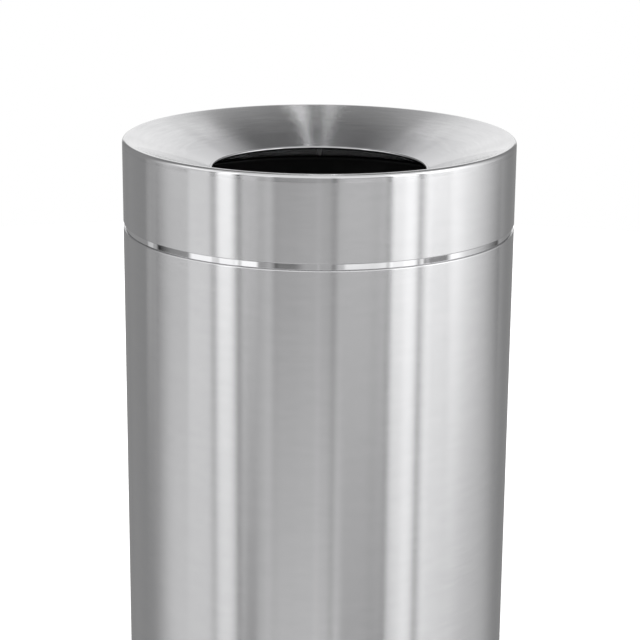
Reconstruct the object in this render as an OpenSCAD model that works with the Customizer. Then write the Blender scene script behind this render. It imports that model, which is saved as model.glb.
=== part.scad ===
// Round litter bin: a rolled steel body, a lift-off lid with a funnel top, and a lift-out liner.
// Millimetres, +Z up, origin on the floor at the bin's centre line.

/* [Overall] */
// Outside diameter of the body and the lid
bin_d = 508; // [420:1:620]
// Height from the floor to the top of the rim
bin_h = 787; // [640:1:960]

/* [Lid] */
// Height of the lid, from its rim to its lower edge
lid_h = 108; // [90:0.5:130]
// Radius of the rolled crest round the rim
crest_r = 5.3; // [4:0.1:6.5]
// Slope of the funnel below horizontal, in degrees
funnel_slope = 20.9; // [15:0.1:25]
// Clear diameter of the opening
opening_d = 277; // [220:1:340]
// Radius of the rolled edge round the opening
neck_roll_r = 2.3; // [1.8:0.1:3]
// Sheet thickness of the funnel
funnel_t = 1.2; // [1:0.1:1.5]
// Sheet thickness of the skirt
skirt_t = 1.2; // [1:0.1:1.5]
// Height of the folded hem at the skirt's lower edge
hem_h = 10; // [6:0.5:16]
// How far the funnel's edge reaches down inside the skirt
funnel_flange_h = 12; // [8:1:20]

/* [Recessed band] */
// Height of the band that shows between the lid and the body
reveal_h = 7.7; // [5:0.1:14]
// Sheet thickness of the collar
collar_t = 1.2; // [1:0.1:1.5]
// Depth of the spigot inside the body
spigot_h = 25; // [15:1:40]
// Thickness of the gasket under the collar
gasket_t = 0.6; // [0.5:0.1:2]

/* [Body] */
// Sheet thickness of the shell
shell_t = 1.2; // [1:0.1:2]
// Outside radius of the shell's top edge
shell_edge_r = 1.8; // [1.6:0.1:3]
// Width of the turned-in flange at the shell's top
flange_w = 8; // [7:0.1:12]
// Height of the lip turned down from the flange
flange_lip_h = 8; // [4:1:12]
// Width of the seam line
seam_w = 0.6; // [0.4:0.1:1]
// Depth of the seam line
seam_depth = 0.4; // [0.2:0.1:0.6]
// Width of the strip behind the seam
seam_strip_w = 30; // [20:1:50]
// Thickness of the seam strip
seam_strip_t = 1.2; // [1:0.1:2]
// Height of the stiffening hoop
hoop_h = 20; // [12:1:30]
// Thickness of the stiffening hoop
hoop_t = 3; // [2:0.1:4]

/* [Base] */
// Clearance between the floor and the shell's lower edge
floor_gap = 12; // [8:1:20]
// Height of the pan's underside above the floor
pan_z = 27; // [24:1:36]
// Sheet thickness of the pan
pan_t = 1.5; // [1.2:0.1:3]
// Height of the pan's upturned rim
pan_rim_h = 24; // [20:1:40]
// Inside radius of the bend between the pan and its rim
pan_bend_r = 4; // [2:0.5:6]
// Diameter of the drain hole
drain_d = 24; // [12:1:40]
// Diameter of the pitch circle of the floor anchors
anchor_pcd = 300; // [240:1:360]
// Diameter of the anchor holes
anchor_d = 11; // [9:0.5:14]
// Number of rivets round the base
base_rivet_count = 8; // [6:1:16]
// Diameter of the rivet shanks
rivet_d = 4; // [3:0.1:5]
// Height of the rubber trim on the lower edge
trim_h = 14; // [10:1:18]
// Wall of the rubber trim
trim_t = 1.6; // [1.2:0.1:2]

/* [Feet] */
// Distance of the feet's centres from the shell's outside
foot_inset = 26; // [24:1:40]
// Diameter of the glides
glide_d = 36; // [26:1:40]
// Height of the glides
glide_h = 15; // [10:1:18]
// Diameter of the screws
screw_d = 8; // [6:1:10]
// Height of the nuts
nut_h = 6.5; // [5:0.1:8]

/* [Liner] */
// Distance from the bin's outside to the inside of the liner's rim
liner_inset = 32; // [29:1:45]
// Sheet thickness of the liner
liner_t = 1; // [0.8:0.1:1.5]
// How much smaller in radius the liner is at its floor
liner_taper = 16; // [10:1:30]
// Height of the straight-sided part under the rim
liner_straight_h = 105; // [90:1:130]
// Distance from the opening's rolled edge down to the liner's rim
liner_headroom = 25; // [15:1:40]
// Radius of the bend between the liner's floor and wall
liner_bend_r = 8; // [4:1:15]
// Diameter of the wire rolled into the rim
rim_wire_d = 5.8; // [4:0.1:8]
// Diameter of the rest pads
pad_d = 24; // [16:1:40]
// Height of the rest pads
pad_h = 5; // [4:0.5:8]
// Diameter of the pads' pitch circle
pad_pcd = 300; // [200:1:340]
// Height of the locating brackets
locator_h = 26; // [15:1:40]
// Width of the locating brackets
locator_w = 22; // [15:1:40]

/* [Handles] */
// Diameter of the handle wire
wire_d = 6; // [5:0.5:8]
// Distance between the centres of a handle's arms
handle_w = 78; // [70:1:110]
// Distance from the pivot to the bar
handle_drop = 60; // [50:1:66]
// Distance from the liner's rim down to the pivot
pivot_drop = 30; // [26:1:40]
// Distance from the liner's inside to the pivot
pivot_inset = 17; // [14:1:24]
// Diameter of the rubber sleeve
grip_d = 14; // [12:0.5:18]
// Length of the rubber sleeve
grip_l = 48; // [30:1:52]
// Thickness of an ear
ear_t = 3; // [2:0.5:4]

/* [Clearances] */
// Between fixed pieces that are welded, riveted or pressed together
seat = 0.1; // [0.05:0.01:0.2]
// Between pieces that lift off or out and what they stand on
rest_gap = 0.2; // [0.1:0.05:0.4]
// Between the collar's spigot and the body's flange
spigot_gap = 1; // [0.6:0.1:2]
// Between the liner's foot and its locating brackets
liner_gap = 2; // [1:0.1:4]
// Radial clearance of the handles in their ears
pivot_play = 0.08; // [0.03:0.01:0.1]

/* [Hidden] */
$fn = 96;
cut = 1; // how far a cutter runs past what it cuts

bin_r = bin_d / 2;

// Lid
lid_bottom = bin_h - lid_h;
crest_axis_r = bin_r - crest_r;
crest_axis_z = bin_h - crest_r;
flange_r = bin_r - skirt_t - seat; // outside of the funnel's flange, just inside the skirt
flange_turn = acos((flange_r - crest_axis_r) / crest_r); // where the crest turns down into the flange
flange_turn_in = acos((flange_r - funnel_t - crest_axis_r) / (crest_r - funnel_t));
skirt_top = crest_axis_z - crest_r * sin(flange_turn) - 0.5;
neck_r = opening_d / 2 + neck_roll_r; // centre line of the rolled edge
crest_end_r = crest_axis_r - crest_r * sin(funnel_slope);
crest_end_z = crest_axis_z + crest_r * cos(funnel_slope);
neck_top_z = crest_end_z - (crest_end_r - neck_r) * tan(funnel_slope);
neck_z = neck_top_z - funnel_t / 2 / cos(funnel_slope);
neck_bottom = neck_z - neck_roll_r;

// Collar
shell_top = lid_bottom - reveal_h;
collar_r = bin_r - 2 * skirt_t - seat; // outside of the recessed band
gasket_bottom = shell_top + rest_gap;
collar_bottom = gasket_bottom + gasket_t;
spigot_r = bin_r - flange_w - spigot_gap;
collar_bend_r = 1;

// Body
shell_in = bin_r - shell_t;
fixed_in = shell_in - seat; // outside of what is fixed against the shell's inner face
pan_top = pan_z + pan_t;
base_rivet_z = pan_z + pan_rim_h * 0.6;
hoop_top = shell_top - shell_edge_r - seat; // just under the bend of the flange
foot_r = bin_r - foot_inset;
foot_angles = [45, 135, 225, 315];
side_angles = [0, 90, 180, 270];
hole_gap = 0.3; // round a screw in its hole
rivet_head_r = rivet_d;
rivet_head_h = rivet_d * 0.3;

// Liner
liner_in = bin_r - liner_inset;
liner_rim = neck_bottom - liner_headroom;
liner_floor = pan_top + seat + pad_h + rest_gap;
liner_foot_r = liner_in + liner_t - liner_taper;
curl_r = rim_wire_d / 2 + seat + liner_t;
curl_axis_r = liner_in + curl_r;
curl_axis_z = liner_rim - curl_r;
locator_t = 2;
locator_in = liner_foot_r + liner_gap;
locator_l = 20;

// Handles
pivot_r = liner_in - pivot_inset;
pivot_z = liner_rim - pivot_drop;
arm_y = handle_w / 2;
bar_bend_r = arm_y - grip_l / 2 - 2; // leaves the bar straight past the rubber sleeve
pin_bend_r = wire_d / 2 + 0.5;
ear_y = arm_y + pin_bend_r + 2.5;
ear_r = wire_d / 2 + 5.5;
pin_end_y = ear_y + ear_t + 1;
pin_head_t = 2;
ear_foot_t = 1.5;
ear_foot_end = ear_y + 27;
ear_foot_h = 24;
ear_rivet_y = ear_y + 17;
ear_rivet_dz = 6.5;
ear_rivet_angle = asin(ear_rivet_y / (liner_in - seat));

// Points of an arc round c, from angle a to angle b.
function arc(c, r, a, b, n) = [for (i = [0:n]) c + r * [cos(a + (b - a) * i / n), sin(a + (b - a) * i / n)]];

module ring(r_in, r_out, z_low, z_high) {
    rotate_extrude() translate([r_in, z_low]) square([r_out - r_in, z_high - z_low]);
}

// Places a piece that stands on +X at each angle round the bin.
module around(angles) {
    for (a = angles) rotate([0, 0, a]) children();
}

module lid_funnel() {
    crest_axis = [crest_axis_r, crest_axis_z];
    half_sheet = asin(funnel_t / 2 / neck_roll_r); // where the sheet meets the rolled edge
    color("lightgray") rotate_extrude() polygon(concat(
        arc([neck_r, neck_z], neck_roll_r, funnel_slope - half_sheet + 360, funnel_slope + half_sheet, 24),
        arc(crest_axis, crest_r, 90 + funnel_slope, -flange_turn, 20),
        [[flange_r, skirt_top - funnel_flange_h], [flange_r - funnel_t, skirt_top - funnel_flange_h]],
        arc(crest_axis, crest_r - funnel_t, -flange_turn_in, 90 + funnel_slope, 16)));
}

module lid_skirt() {
    edge = [bin_r - skirt_t, lid_bottom + skirt_t];
    top_edge_r = skirt_t * 0.4;
    color("silver") rotate_extrude() polygon(concat(
        arc(edge, skirt_t, -180, 0, 12),
        arc([bin_r - top_edge_r, skirt_top - top_edge_r], top_edge_r, 0, 90, 4),
        [[bin_r - skirt_t, skirt_top], [bin_r - skirt_t, lid_bottom + hem_h],
            [bin_r - 2 * skirt_t, lid_bottom + hem_h]]));
}

module locating_collar() {
    inner = collar_r - collar_t;
    spigot_in = spigot_r - collar_t;
    spigot_low = collar_bottom - spigot_h;
    color("gainsboro") rotate_extrude() polygon(concat(
        [[collar_r, lid_bottom + hem_h], [inner, lid_bottom + hem_h],
            [inner, collar_bottom + collar_t], [spigot_in, collar_bottom + collar_t]],
        arc([spigot_r, spigot_low + collar_t], collar_t, 180, 270, 4),
        arc([spigot_r - collar_t * 0.4, spigot_low + collar_t * 0.4], collar_t * 0.4, -90, 0, 4),
        [[spigot_r, collar_bottom]],
        arc([collar_r - collar_bend_r, collar_bottom + collar_bend_r], collar_bend_r, -90, 0, 5)));
}

module lid_gasket() {
    color("dimgray") ring(spigot_r + spigot_gap, collar_r - collar_bend_r - seat,
        gasket_bottom, collar_bottom - seat);
}

module outer_shell() {
    lip_in = bin_r - flange_w;
    color("silver") difference() {
        rotate_extrude() polygon(concat(
            [[shell_in, floor_gap], [bin_r, floor_gap]],
            arc([bin_r - shell_edge_r, shell_top - shell_edge_r], shell_edge_r, 0, 90, 8),
            arc([lip_in + shell_edge_r, shell_top - shell_edge_r], shell_edge_r, 90, 180, 6),
            [[lip_in, shell_top - flange_lip_h], [lip_in + shell_t, shell_top - flange_lip_h],
                [lip_in + shell_t, shell_top - shell_edge_r],
                [lip_in + shell_edge_r, shell_top - shell_t],
                [bin_r - shell_edge_r, shell_top - shell_t],
                [shell_in, shell_top - shell_edge_r]]));
        translate([-seam_w / 2, bin_r - seam_depth, floor_gap - cut])
            cube([seam_w, seam_depth + cut, shell_top - floor_gap + 2 * cut]);
        base_rivet_holes();
    }
}

module seam_strip() {
    low = pan_top + pan_rim_h + 4;
    high = hoop_top - hoop_h - 4;
    half_angle = asin(seam_strip_w / 2 / fixed_in);
    color("darkgray") rotate([0, 0, 90 - half_angle]) rotate_extrude(angle = 2 * half_angle)
        translate([fixed_in - seam_strip_t, low]) square([seam_strip_t, high - low]);
}

module top_hoop() {
    color("darkgray") ring(fixed_in - hoop_t, fixed_in, hoop_top - hoop_h, hoop_top);
}

// Rivets round the base stand between the feet and the brackets.
module at_base_rivets() {
    around([for (i = [0:base_rivet_count - 1]) (i + 0.5) * 360 / base_rivet_count])
        translate([0, 0, base_rivet_z]) rotate([0, 90, 0]) children();
}

module base_rivet_holes() {
    at_base_rivets() translate([0, 0, bin_r - 20]) cylinder(d = rivet_d + 2 * seat, h = 40);
}

module base_rivets() {
    pan_rim_in = fixed_in - pan_t;
    color("gray") at_base_rivets() {
        translate([0, 0, pan_rim_in - seat - 1])
            cylinder(d = rivet_d, h = bin_r - pan_rim_in + 2 * seat + 2);
        translate([0, 0, pan_rim_in - seat - rivet_head_h])
            cylinder(r = rivet_head_r * 0.8, h = rivet_head_h);
        translate([0, 0, bin_r + seat])
            cylinder(r1 = rivet_head_r, r2 = rivet_head_r * 0.6, h = rivet_head_h);
    }
}

module base_pan() {
    rim_in = fixed_in - pan_t;
    bend_out = pan_bend_r + pan_t;
    color("darkgray") difference() {
        rotate_extrude() polygon(concat(
            [[0, pan_z]],
            arc([fixed_in - bend_out, pan_z + bend_out], bend_out, -90, 0, 6),
            [[fixed_in, pan_top + pan_rim_h], [rim_in, pan_top + pan_rim_h]],
            arc([rim_in - pan_bend_r, pan_top + pan_bend_r], pan_bend_r, 0, -90, 6),
            [[0, pan_top]]));
        translate([0, 0, pan_z - cut]) cylinder(d = drain_d, h = pan_t + 2 * cut);
        around(foot_angles) {
            translate([anchor_pcd / 2, 0, pan_z - cut]) cylinder(d = anchor_d, h = pan_t + 2 * cut);
            translate([foot_r, 0, pan_z - cut]) cylinder(d = screw_d + 2 * hole_gap, h = pan_t + 2 * cut);
        }
        around(side_angles)
            translate([locator_in + locator_l * 0.6, 0, pan_z - cut])
                cylinder(d = rivet_d + 2 * seat, h = pan_t + 2 * cut);
        base_rivet_holes();
    }
}

module base_trim() {
    low = floor_gap - seat - trim_t;
    edge_r = 0.8;
    outer = bin_r + seat + trim_t;
    inner = shell_in - seat - trim_t;
    color("black") rotate_extrude() polygon(concat(
        arc([outer - edge_r, low + edge_r], edge_r, -90, 0, 4),
        arc([outer - edge_r, low + trim_h - edge_r], edge_r, 0, 90, 4),
        [[bin_r + seat, low + trim_h], [bin_r + seat, floor_gap - seat],
            [shell_in - seat, floor_gap - seat], [shell_in - seat, low + trim_h * 0.8],
            [inner, low + trim_h * 0.8], [inner, low]]));
}

module foot_glides() {
    r = glide_d / 2;
    boss_r = screw_d / 2 + 4;
    color("dimgray") around(foot_angles) translate([foot_r, 0, 0]) rotate_extrude() polygon([
        [0, 0], [r - 1, 0], [r, 1], [r, glide_h * 0.4], [boss_r + 1, glide_h], [screw_d / 2 + seat, glide_h],
        [screw_d / 2 + seat, 4], [0, 4]]);
}

module foot_screws() {
    low = 4 + seat;
    high = pan_top + seat + nut_h + 2;
    tip = 1;
    color("gray") around(foot_angles) translate([foot_r, 0, 0]) rotate_extrude() polygon([
        [0, low], [screw_d / 2, low], [screw_d / 2, high - tip], [screw_d / 2 - tip, high], [0, high]]);
}

module foot_nuts() {
    nut_r = screw_d * 0.93;
    color("gray") around(foot_angles) translate([foot_r, 0, 0])
        for (low = [pan_top + seat, pan_z - seat - nut_h * 0.6]) difference() {
            translate([0, 0, low]) cylinder(r = nut_r, h = low > pan_z ? nut_h : nut_h * 0.6, $fn = 6);
            translate([0, 0, low - cut]) cylinder(r = screw_d / 2 + seat, h = nut_h + 2 * cut);
        }
}

module liner_rest_pads() {
    r = pad_d / 2;
    color("black") around(side_angles) translate([pad_pcd / 2, 0, pan_top + seat]) rotate_extrude()
        polygon([[0, 0], [r, 0], [r, pad_h - 1], [r - 1, pad_h], [0, pad_h]]);
}

module liner_locators() {
    color("darkgray") around(side_angles) translate([locator_in, 0, pan_top + seat]) difference() {
        union() {
            translate([0, -locator_w / 2, 0]) cube([locator_l, locator_w, locator_t]);
            translate([0, -locator_w / 2, 0]) cube([locator_t, locator_w, locator_h]);
        }
        translate([locator_l * 0.6, 0, -cut]) cylinder(d = rivet_d + 2 * seat, h = locator_t + 2 * cut);
    }
}

module locator_rivets() {
    top = pan_top + 2 * seat + locator_t;
    color("gray") around(side_angles) translate([locator_in + locator_l * 0.6, 0, 0]) {
        translate([0, 0, pan_z - seat - 1]) cylinder(d = rivet_d, h = top - pan_z + seat + 2);
        translate([0, 0, top]) cylinder(r1 = rivet_head_r, r2 = rivet_head_r * 0.6, h = rivet_head_h);
        translate([0, 0, pan_z - seat - rivet_head_h]) cylinder(r = rivet_head_r * 0.8, h = rivet_head_h);
    }
}

module at_ear_rivets() {
    for (side = [0, 180], a = [-ear_rivet_angle, ear_rivet_angle], dz = [-ear_rivet_dz, ear_rivet_dz])
        rotate([0, 0, side + a]) translate([0, 0, pivot_z + dz]) rotate([0, 90, 0]) children();
}

module ear_rivet_holes() {
    at_ear_rivets() translate([0, 0, liner_in - 10]) cylinder(d = rivet_d + 2 * seat, h = 20);
}

module liner_bucket() {
    knee = liner_rim - liner_straight_h;
    wall_foot = liner_floor + liner_bend_r;
    bend_axis = [liner_foot_r - liner_bend_r, wall_foot];
    curl_axis = [curl_axis_r, curl_axis_z];
    curl_end = -100;
    color("#202020") difference() {
        rotate_extrude() polygon(concat(
            [[0, liner_floor]],
            arc(bend_axis, liner_bend_r, -90, 0, 6),
            [[liner_in + liner_t, knee], [liner_in + liner_t, curl_axis_z]],
            arc(curl_axis, curl_r - liner_t, 175, curl_end, 20),
            arc(curl_axis, curl_r, curl_end, 180, 20),
            [[liner_in, knee]],
            arc(bend_axis, liner_bend_r - liner_t, 0, -90, 6),
            [[0, liner_floor + liner_t]]));
        ear_rivet_holes();
    }
}

module liner_rim_wire() {
    color("gray") rotate_extrude() translate([curl_axis_r, curl_axis_z]) circle(d = rim_wire_d, $fn = 32);
}

// One ear: a plate that carries the pivot, and a foot that follows the liner's wall.
module ear() {
    foot_r = liner_in - seat;
    plate_end = sqrt(pow(foot_r - ear_foot_t / 2, 2) - pow(ear_y + ear_t, 2));
    difference() {
        union() {
            intersection() {
                ring(foot_r - ear_foot_t, foot_r, pivot_z - ear_foot_h / 2, pivot_z + ear_foot_h / 2);
                translate([0, ear_y, pivot_z - ear_foot_h])
                    cube([bin_r, ear_foot_end - ear_y, 2 * ear_foot_h]);
            }
            translate([pivot_r, ear_y + ear_t, pivot_z]) rotate([90, 0, 0]) cylinder(r = ear_r, h = ear_t);
            translate([pivot_r, ear_y, pivot_z - ear_r]) cube([plate_end - pivot_r, ear_t, 2 * ear_r]);
        }
        translate([pivot_r, ear_y + ear_t + cut, pivot_z]) rotate([90, 0, 0])
            cylinder(r = wire_d / 2 + pivot_play, h = ear_t + 2 * cut);
    }
}

module handle_ears() {
    color("darkgray") difference() {
        for (side = [0, 1], end = [0, 1]) mirror([side, 0, 0]) mirror([0, end, 0]) ear();
        ear_rivet_holes();
    }
}

module ear_rivets() {
    foot_in = liner_in - seat - ear_foot_t;
    wall_out = liner_in + liner_t;
    color("gray") at_ear_rivets() {
        translate([0, 0, foot_in - seat - 0.5]) cylinder(d = rivet_d, h = wall_out - foot_in + 2 * seat + 1);
        translate([0, 0, foot_in - seat - rivet_head_h]) cylinder(r = rivet_head_r * 0.8, h = rivet_head_h);
        translate([0, 0, wall_out + seat]) cylinder(r = rivet_head_r * 0.8, h = rivet_head_h);
    }
}

// A quarter bend of the handle's wire, from +X towards +Y.
module bend(r) {
    rotate_extrude(angle = 90) translate([r, 0]) circle(d = wire_d, $fn = 32);
}

// One half of a handle, hanging from its pivot in the YZ plane, towards +Y.
module half_handle() {
    bar_z = pivot_z - handle_drop;
    translate([pivot_r, 0, bar_z]) rotate([-90, 0, 0]) cylinder(d = wire_d, h = arm_y - bar_bend_r, $fn = 32);
    translate([pivot_r, arm_y - bar_bend_r, bar_z + bar_bend_r]) rotate([0, 90, 0]) bend(bar_bend_r);
    translate([pivot_r, arm_y, bar_z + bar_bend_r])
        cylinder(d = wire_d, h = handle_drop - bar_bend_r - pin_bend_r, $fn = 32);
    translate([pivot_r, arm_y + pin_bend_r, pivot_z - pin_bend_r]) rotate([0, -90, 180]) bend(pin_bend_r);
    translate([pivot_r, arm_y + pin_bend_r, pivot_z]) rotate([-90, 0, 0])
        cylinder(d = wire_d, h = pin_end_y - arm_y - pin_bend_r + pin_head_t, $fn = 32);
    translate([pivot_r, pin_end_y, pivot_z]) rotate([-90, 0, 0]) cylinder(d = wire_d + 3, h = pin_head_t);
}

module handle() {
    half_handle();
    mirror([0, 1, 0]) half_handle();
}

module grip() {
    bar_z = pivot_z - handle_drop;
    difference() {
        translate([pivot_r, -grip_l / 2, bar_z]) rotate([-90, 0, 0]) cylinder(d = grip_d, h = grip_l);
        translate([pivot_r, -grip_l / 2 - cut, bar_z]) rotate([-90, 0, 0])
            cylinder(r = wire_d / 2 + seat, h = grip_l + 2 * cut);
    }
}

module handle_right() { color("silver") handle(); }

module handle_left() { color("silver") mirror([1, 0, 0]) handle(); }

module grip_right() { color("black") grip(); }

module grip_left() { color("black") mirror([1, 0, 0]) grip(); }

outer_shell();
seam_strip();
top_hoop();
base_pan();
base_rivets();
base_trim();
foot_glides();
foot_screws();
foot_nuts();
liner_rest_pads();
liner_locators();
locator_rivets();
liner_bucket();
liner_rim_wire();
handle_ears();
ear_rivets();
handle_left();
grip_left();
handle_right();
grip_right();
lid_funnel();
lid_skirt();
locating_collar();
lid_gasket();
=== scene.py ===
"""A round litter bin of brushed stainless steel: body, lift-off funnel lid and lift-out black liner.

Metres, +Z up, the bin's centre line on the origin and its feet on z = 0. The front is towards -Y.
"""
import math

import bpy
from mathutils import Matrix, Vector


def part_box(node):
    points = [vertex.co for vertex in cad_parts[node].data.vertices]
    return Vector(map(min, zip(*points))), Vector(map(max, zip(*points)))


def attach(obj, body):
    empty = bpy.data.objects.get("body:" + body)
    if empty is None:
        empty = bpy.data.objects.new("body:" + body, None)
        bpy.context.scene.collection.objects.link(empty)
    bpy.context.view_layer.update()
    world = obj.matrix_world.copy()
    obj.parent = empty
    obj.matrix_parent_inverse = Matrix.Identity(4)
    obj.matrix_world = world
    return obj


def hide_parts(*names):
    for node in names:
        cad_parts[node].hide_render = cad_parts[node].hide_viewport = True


MM = 0.001
TURN = 2 * math.pi

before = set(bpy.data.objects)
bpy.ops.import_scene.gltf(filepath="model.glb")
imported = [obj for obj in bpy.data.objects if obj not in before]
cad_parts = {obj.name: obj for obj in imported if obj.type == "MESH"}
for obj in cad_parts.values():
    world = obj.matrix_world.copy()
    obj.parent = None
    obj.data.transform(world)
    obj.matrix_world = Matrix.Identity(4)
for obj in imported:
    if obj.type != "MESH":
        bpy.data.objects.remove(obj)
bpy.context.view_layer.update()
scene = bpy.context.scene


# ---------------------------------------------------------------- sizes, taken from the frame
def reach(node):
    """Outside radius, lowest and highest z of a turned piece."""
    low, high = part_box(node)
    return high.x, low.z, high.z


shell_r, shell_low, shell_top = reach("outer_shell")
skirt_r, skirt_low, skirt_top = reach("lid_skirt")
flange_r, neck_low, rim_top = reach("lid_funnel")
collar_r, spigot_low, collar_top = reach("locating_collar")
_, _, gasket_top = reach("lid_gasket")
_, liner_low, liner_top = reach("liner_bucket")
wire_r, wire_low, wire_top = reach("liner_rim_wire")
trim_r, trim_low, trim_top = reach("base_trim")

seat = 0.1 * MM  # between pieces that are fixed together
sheet_t = 1.2 * MM  # steel of the shell, skirt, funnel and collar
pan_t = 1.5 * MM
liner_t = 1.0 * MM
crest_r = 5.3 * MM  # rolled crest round the rim
neck_roll_r = 2.3 * MM  # rolled edge round the opening
funnel_slope = math.radians(20.9)
neck_crown, crest_crown = 1.5, 2.0  # degrees: the sheet is steeper at the opening, flatter at the crest
funnel_flange_h = 12 * MM
hem_h = 10 * MM
shell_edge_r = 1.8 * MM
shell_flange_w = 8 * MM
seam_w, seam_depth = 0.6 * MM, 0.4 * MM
gasket_cover = (0.9 * MM, 0.12 * MM)  # the collar's lip over the gasket's edge: its width, its gap
liner_neck_h, liner_taper = 105 * MM, 16 * MM  # straight part below the rim, and the taper below it
spigot_wall_r = shell_r - shell_flange_w - 1 * MM
opening_r = flange_r - (rim_top - neck_low) / math.tan(funnel_slope)
round_segments = 240


# ---------------------------------------------------------------- small helpers for node trees
def place(tree, kind, inputs=None, **settings):
    """Adds a node to a tree, sets it up, and joins or fills the inputs given by name or number."""
    node = tree.nodes.new(kind)
    for name, value in settings.items():
        setattr(node, name, value)
    for key, value in (inputs or {}).items():
        if isinstance(value, bpy.types.NodeSocket):
            tree.links.new(value, node.inputs[key])
        else:
            node.inputs[key].default_value = value
    return node


def maths(tree, operation, *values, clamp=False):
    """One Math node. Returns its output."""
    return place(tree, "ShaderNodeMath", dict(enumerate(values)), operation=operation,
                 use_clamp=clamp).outputs[0]


def remap(tree, value, low, high, to_low=0.0, to_high=1.0, smooth=True):
    """Takes a value from low..high to another span. Returns the output."""
    node = place(tree, "ShaderNodeMapRange", {"Value": value, "From Min": low, "From Max": high,
                                              "To Min": to_low, "To Max": to_high},
                 interpolation_type="SMOOTHSTEP" if smooth else "LINEAR")
    return node.outputs[0]


def new_tree(kind, name, inputs, outputs):
    """A node group with named sockets. inputs and outputs are (name, type, default) rows."""
    tree = bpy.data.node_groups.new(name, kind)
    for rows, in_out in ((inputs, "INPUT"), (outputs, "OUTPUT")):
        for label, sort, *start in rows:
            socket = tree.interface.new_socket(label, in_out=in_out, socket_type="NodeSocket" + sort)
            if start:
                socket.default_value = start[0]
    return tree, tree.nodes.new("NodeGroupInput"), tree.nodes.new("NodeGroupOutput")


# ---------------------------------------------------------------- geometry trees
def turned_sheet_tree():
    """Turns a profile in the XZ plane round the Z axis, with one sunk seam line if it has a depth."""
    tree, given, result = new_tree("GeometryNodeTree", "turned sheet", [
        ("Profile", "Geometry"), ("Segments", "Int", 96), ("Closed Profile", "Int", 1),
        ("Seam Angle", "Float", 0.0), ("Seam Half Angle", "Float", 0.0), ("Seam Radius", "Float", 10.0),
        ("Sharp Edge", "Float", 0.6), ("Turn", "Vector"), ("Place", "Vector"), ("Material", "Material"),
    ], [("Mesh", "Geometry")])
    given_at = given.outputs
    size = place(tree, "GeometryNodeAttributeDomainSize", {"Geometry": given_at["Profile"]})
    points = size.outputs["Point Count"]
    rows = maths(tree, "ADD", points, given_at["Closed Profile"])
    columns = maths(tree, "ADD", given_at["Segments"], 4.0)
    grid = place(tree, "GeometryNodeMeshGrid", {"Vertices X": columns, "Vertices Y": rows})
    index = place(tree, "GeometryNodeInputIndex").outputs[0]
    column = maths(tree, "FLOOR", maths(tree, "DIVIDE", maths(tree, "ADD", index, 0.5), rows))
    row = maths(tree, "SUBTRACT", index, maths(tree, "MULTIPLY", column, rows))
    profile = place(tree, "GeometryNodeSampleIndex", {
        "Geometry": given_at["Profile"], "Value": place(tree, "GeometryNodeInputPosition").outputs[0],
        "Index": maths(tree, "MODULO", maths(tree, "ADD", row, 0.25), points)},
        data_type="FLOAT_VECTOR", domain="POINT")
    point = place(tree, "ShaderNodeSeparateXYZ", {0: profile.outputs[0]})
    # the last two inner columns stand in the seam line; the very last closes on the first
    half = given_at["Seam Half Angle"]
    share = maths(tree, "MINIMUM", maths(tree, "DIVIDE", column, given_at["Segments"]), 1.0)
    sweep = maths(tree, "SUBTRACT", TURN, maths(tree, "MULTIPLY", half, 2.0))
    past = maths(tree, "GREATER_THAN", column, maths(tree, "ADD", given_at["Segments"], 1.5))
    angle = maths(tree, "ADD", maths(tree, "MULTIPLY", share, sweep), half)
    angle = maths(tree, "ADD", angle, maths(tree, "MULTIPLY", past, maths(tree, "MULTIPLY", half, 2.0)))
    angle = maths(tree, "ADD", angle, given_at["Seam Angle"])
    sunk = maths(tree, "MULTIPLY",
                 maths(tree, "GREATER_THAN", column, maths(tree, "ADD", given_at["Segments"], 0.5)),
                 maths(tree, "LESS_THAN", column, maths(tree, "ADD", given_at["Segments"], 2.5)))
    limit = maths(tree, "ADD", given_at["Seam Radius"],
                  maths(tree, "MULTIPLY", maths(tree, "SUBTRACT", 1.0, sunk), 10.0))
    radius = maths(tree, "MINIMUM", point.outputs["X"], limit)
    spot = place(tree, "ShaderNodeCombineXYZ", {
        "X": maths(tree, "MULTIPLY", radius, maths(tree, "COSINE", angle)),
        "Y": maths(tree, "MULTIPLY", radius, maths(tree, "SINE", angle)), "Z": point.outputs["Z"]})
    moved = place(tree, "GeometryNodeSetPosition", {
        "Geometry": grid.outputs[0], "Position": spot.outputs[0]})
    merged = place(tree, "GeometryNodeMergeByDistance", {
        "Geometry": moved.outputs[0], "Distance": 0.002 * MM})
    sharp = place(tree, "FunctionNodeCompare", {
        "A": place(tree, "GeometryNodeInputMeshEdgeAngle").outputs[0], "B": given_at["Sharp Edge"]},
        operation="GREATER_THAN")
    smooth = place(tree, "GeometryNodeSetShadeSmooth", {
        "Geometry": merged.outputs[0], "Shade Smooth": True})
    edges = place(tree, "GeometryNodeSetShadeSmooth", {
        "Geometry": smooth.outputs[0], "Selection": sharp.outputs[0], "Shade Smooth": False}, domain="EDGE")
    turn = place(tree, "FunctionNodeEulerToRotation", {0: given_at["Turn"]})
    placed = place(tree, "GeometryNodeTransform", {
        "Geometry": edges.outputs[0], "Translation": given_at["Place"], "Rotation": turn.outputs[0]})
    whole = place(tree, "GeometryNodeRealizeInstances", {"Geometry": placed.outputs[0]})
    dressed = place(tree, "GeometryNodeSetMaterial", {"Geometry": whole.outputs[0],
                                                      "Material": given_at["Material"]})
    tree.links.new(dressed.outputs[0], result.inputs[0])
    return tree


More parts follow.
